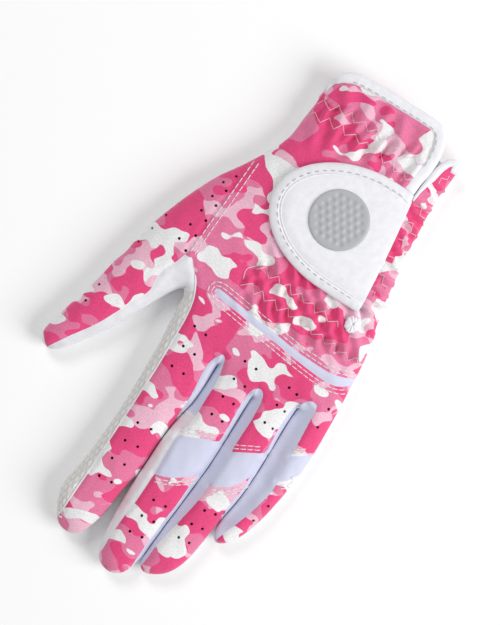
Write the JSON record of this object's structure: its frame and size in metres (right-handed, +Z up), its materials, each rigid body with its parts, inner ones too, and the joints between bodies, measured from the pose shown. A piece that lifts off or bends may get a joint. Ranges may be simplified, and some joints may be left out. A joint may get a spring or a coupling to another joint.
{
  "type": "golf glove",
  "caption": "Left-hand golf glove of printed knit and white leather, with stretch knuckle panels and a wrist closure tab that opens",
  "frame": {"origin": "middle of the palm, on the surface the glove lies on", "axes": "+X towards the little finger, +Y towards the cuff, +Z up out of the back of the hand"},
  "size_m": [0.1206, 0.2226, 0.0184],
  "materials": {
    "camo_knit": "printed pink and white camouflage pattern on fine knit",
    "palm_leather": "soft white glove leather",
    "embossed_leather": "pale leather with a raised cell pattern",
    "stretch_knit": "lilac stretch knit",
    "binding_tape": "narrow white folded edge binding",
    "tab_leather": "smooth white synthetic leather",
    "badge_rubber": "matt grey moulded badge",
    "elastic_tape": "white woven elastic",
    "hook_tape": "hook side of touch tape",
    "loop_tape": "loop side of touch tape"
  },
  "bodies": {
    "hand": {"back_panel": "camo_knit", "palm_panel": "palm_leather", "thumb_saddle": "camo_knit", "thumb_gusset": "palm_leather", "radial_side": "camo_knit", "index_hand_side_panel": "embossed_leather", "ulnar_side": "camo_knit", "knuckle_flex_strip": "stretch_knit", "cuff_binding": "binding_tape", "palm_cuff_binding": "binding_tape", "slit_binding": "binding_tape", "slit_end_tack": "binding_tape", "tab_anchor": "tab_leather", "loop_pad": "loop_tape", "cuff_elastic_1": "elastic_tape", "cuff_elastic_2": "elastic_tape", "back_elastic_1": "elastic_tape", "back_elastic_2": "elastic_tape", "palm_elastic": "elastic_tape"},
    "tab": {"tab_cover": "tab_leather", "tab_binding": "tab_leather", "tab_hook_pad": "hook_tape", "tab_emblem": "badge_rubber"},
    "thumb_base": {"thumb_base_back": "camo_knit", "thumb_base_palm": "palm_leather", "thumb_base_sides": "palm_leather"},
    "thumb_tip": {"thumb_tip_back": "camo_knit", "thumb_tip_palm": "palm_leather", "thumb_tip_sides": "palm_leather"},
    "index_base": {"index_base_back": "camo_knit", "index_base_palm": "palm_leather", "index_base_side_panel": "embossed_leather", "index_base_fourchette": "stretch_knit"},
    "index_tip": {"index_tip_back": "camo_knit", "index_tip_palm": "palm_leather", "index_tip_side_panel": "embossed_leather", "index_tip_fourchette": "palm_leather"},
    "middle_base": {"middle_base_back": "camo_knit", "middle_base_palm": "palm_leather", "middle_base_fourchettes": "stretch_knit", "middle_knuckle_insert": "stretch_knit"},
    "middle_tip": {"middle_tip_back": "camo_knit", "middle_tip_palm": "palm_leather", "middle_tip_fourchettes": "stretch_knit"},
    "ring_base": {"ring_base_back": "camo_knit", "ring_base_palm": "palm_leather", "ring_base_fourchettes": "stretch_knit", "ring_knuckle_insert": "stretch_knit"},
    "ring_tip": {"ring_tip_back": "camo_knit", "ring_tip_palm": "palm_leather", "ring_tip_fourchettes": "stretch_knit"},
    "little_base": {"little_base_back": "camo_knit", "little_base_palm": "palm_leather", "little_base_sides": "stretch_knit", "little_knuckle_insert": "stretch_knit"},
    "little_tip": {"little_tip_back": "camo_knit", "little_tip_palm": "palm_leather", "little_tip_sides": "stretch_knit"}
  },
  "joints": [
    {"name": "tab_open", "type": "hinge", "parent": "hand", "child": "tab", "pos_m": [0.03245, 0.05235, 0.0164], "axis": [-0.0571, 0.9984, 0], "range_deg": [0, 160]},
    {"name": "thumb_base_bend", "type": "hinge", "parent": "hand", "child": "thumb_base", "pos_m": [-0.0481, -0.0006, 0.005], "axis": [0.9026, -0.4305, 0], "range_deg": [-10, 60]},
    {"name": "thumb_knuckle_bend", "type": "hinge", "parent": "thumb_base", "child": "thumb_tip", "pos_m": [-0.05714, -0.01955, 0.005], "axis": [0.9026, -0.4305, 0], "range_deg": [0, 80]},
    {"name": "index_base_bend", "type": "hinge", "parent": "hand", "child": "index_base", "pos_m": [-0.017, -0.021, 0.005], "axis": [0.9936, -0.1132, 0], "range_deg": [-10, 80]},
    {"name": "index_knuckle_bend", "type": "hinge", "parent": "index_base", "child": "index_tip", "pos_m": [-0.0211, -0.05697, 0.005], "axis": [0.9936, -0.1132, 0], "range_deg": [0, 95]},
    {"name": "middle_base_bend", "type": "hinge", "parent": "hand", "child": "middle_base", "pos_m": [0.00444, -0.024, 0.005], "axis": [0.9954, -0.0958, 0], "range_deg": [-10, 80]},
    {"name": "middle_knuckle_bend", "type": "hinge", "parent": "middle_base", "child": "middle_tip", "pos_m": [0.00107, -0.05904, 0.005], "axis": [0.9954, -0.0958, 0], "range_deg": [0, 95]},
    {"name": "ring_base_bend", "type": "hinge", "parent": "hand", "child": "ring_base", "pos_m": [0.0228, -0.024, 0.005], "axis": [0.9945, -0.1045, 0], "range_deg": [-10, 80]},
    {"name": "ring_knuckle_bend", "type": "hinge", "parent": "ring_base", "child": "ring_tip", "pos_m": [0.01997, -0.05095, 0.005], "axis": [0.9945, -0.1045, 0], "range_deg": [0, 95]},
    {"name": "little_base_bend", "type": "hinge", "parent": "hand", "child": "little_base", "pos_m": [0.0395, -0.0205, 0.005], "axis": [0.9937, -0.1123, 0], "range_deg": [-10, 80]},
    {"name": "little_knuckle_bend", "type": "hinge", "parent": "little_base", "child": "little_tip", "pos_m": [0.03724, -0.04047, 0.005], "axis": [0.9937, -0.1123, 0], "range_deg": [0, 95]}
  ]
}
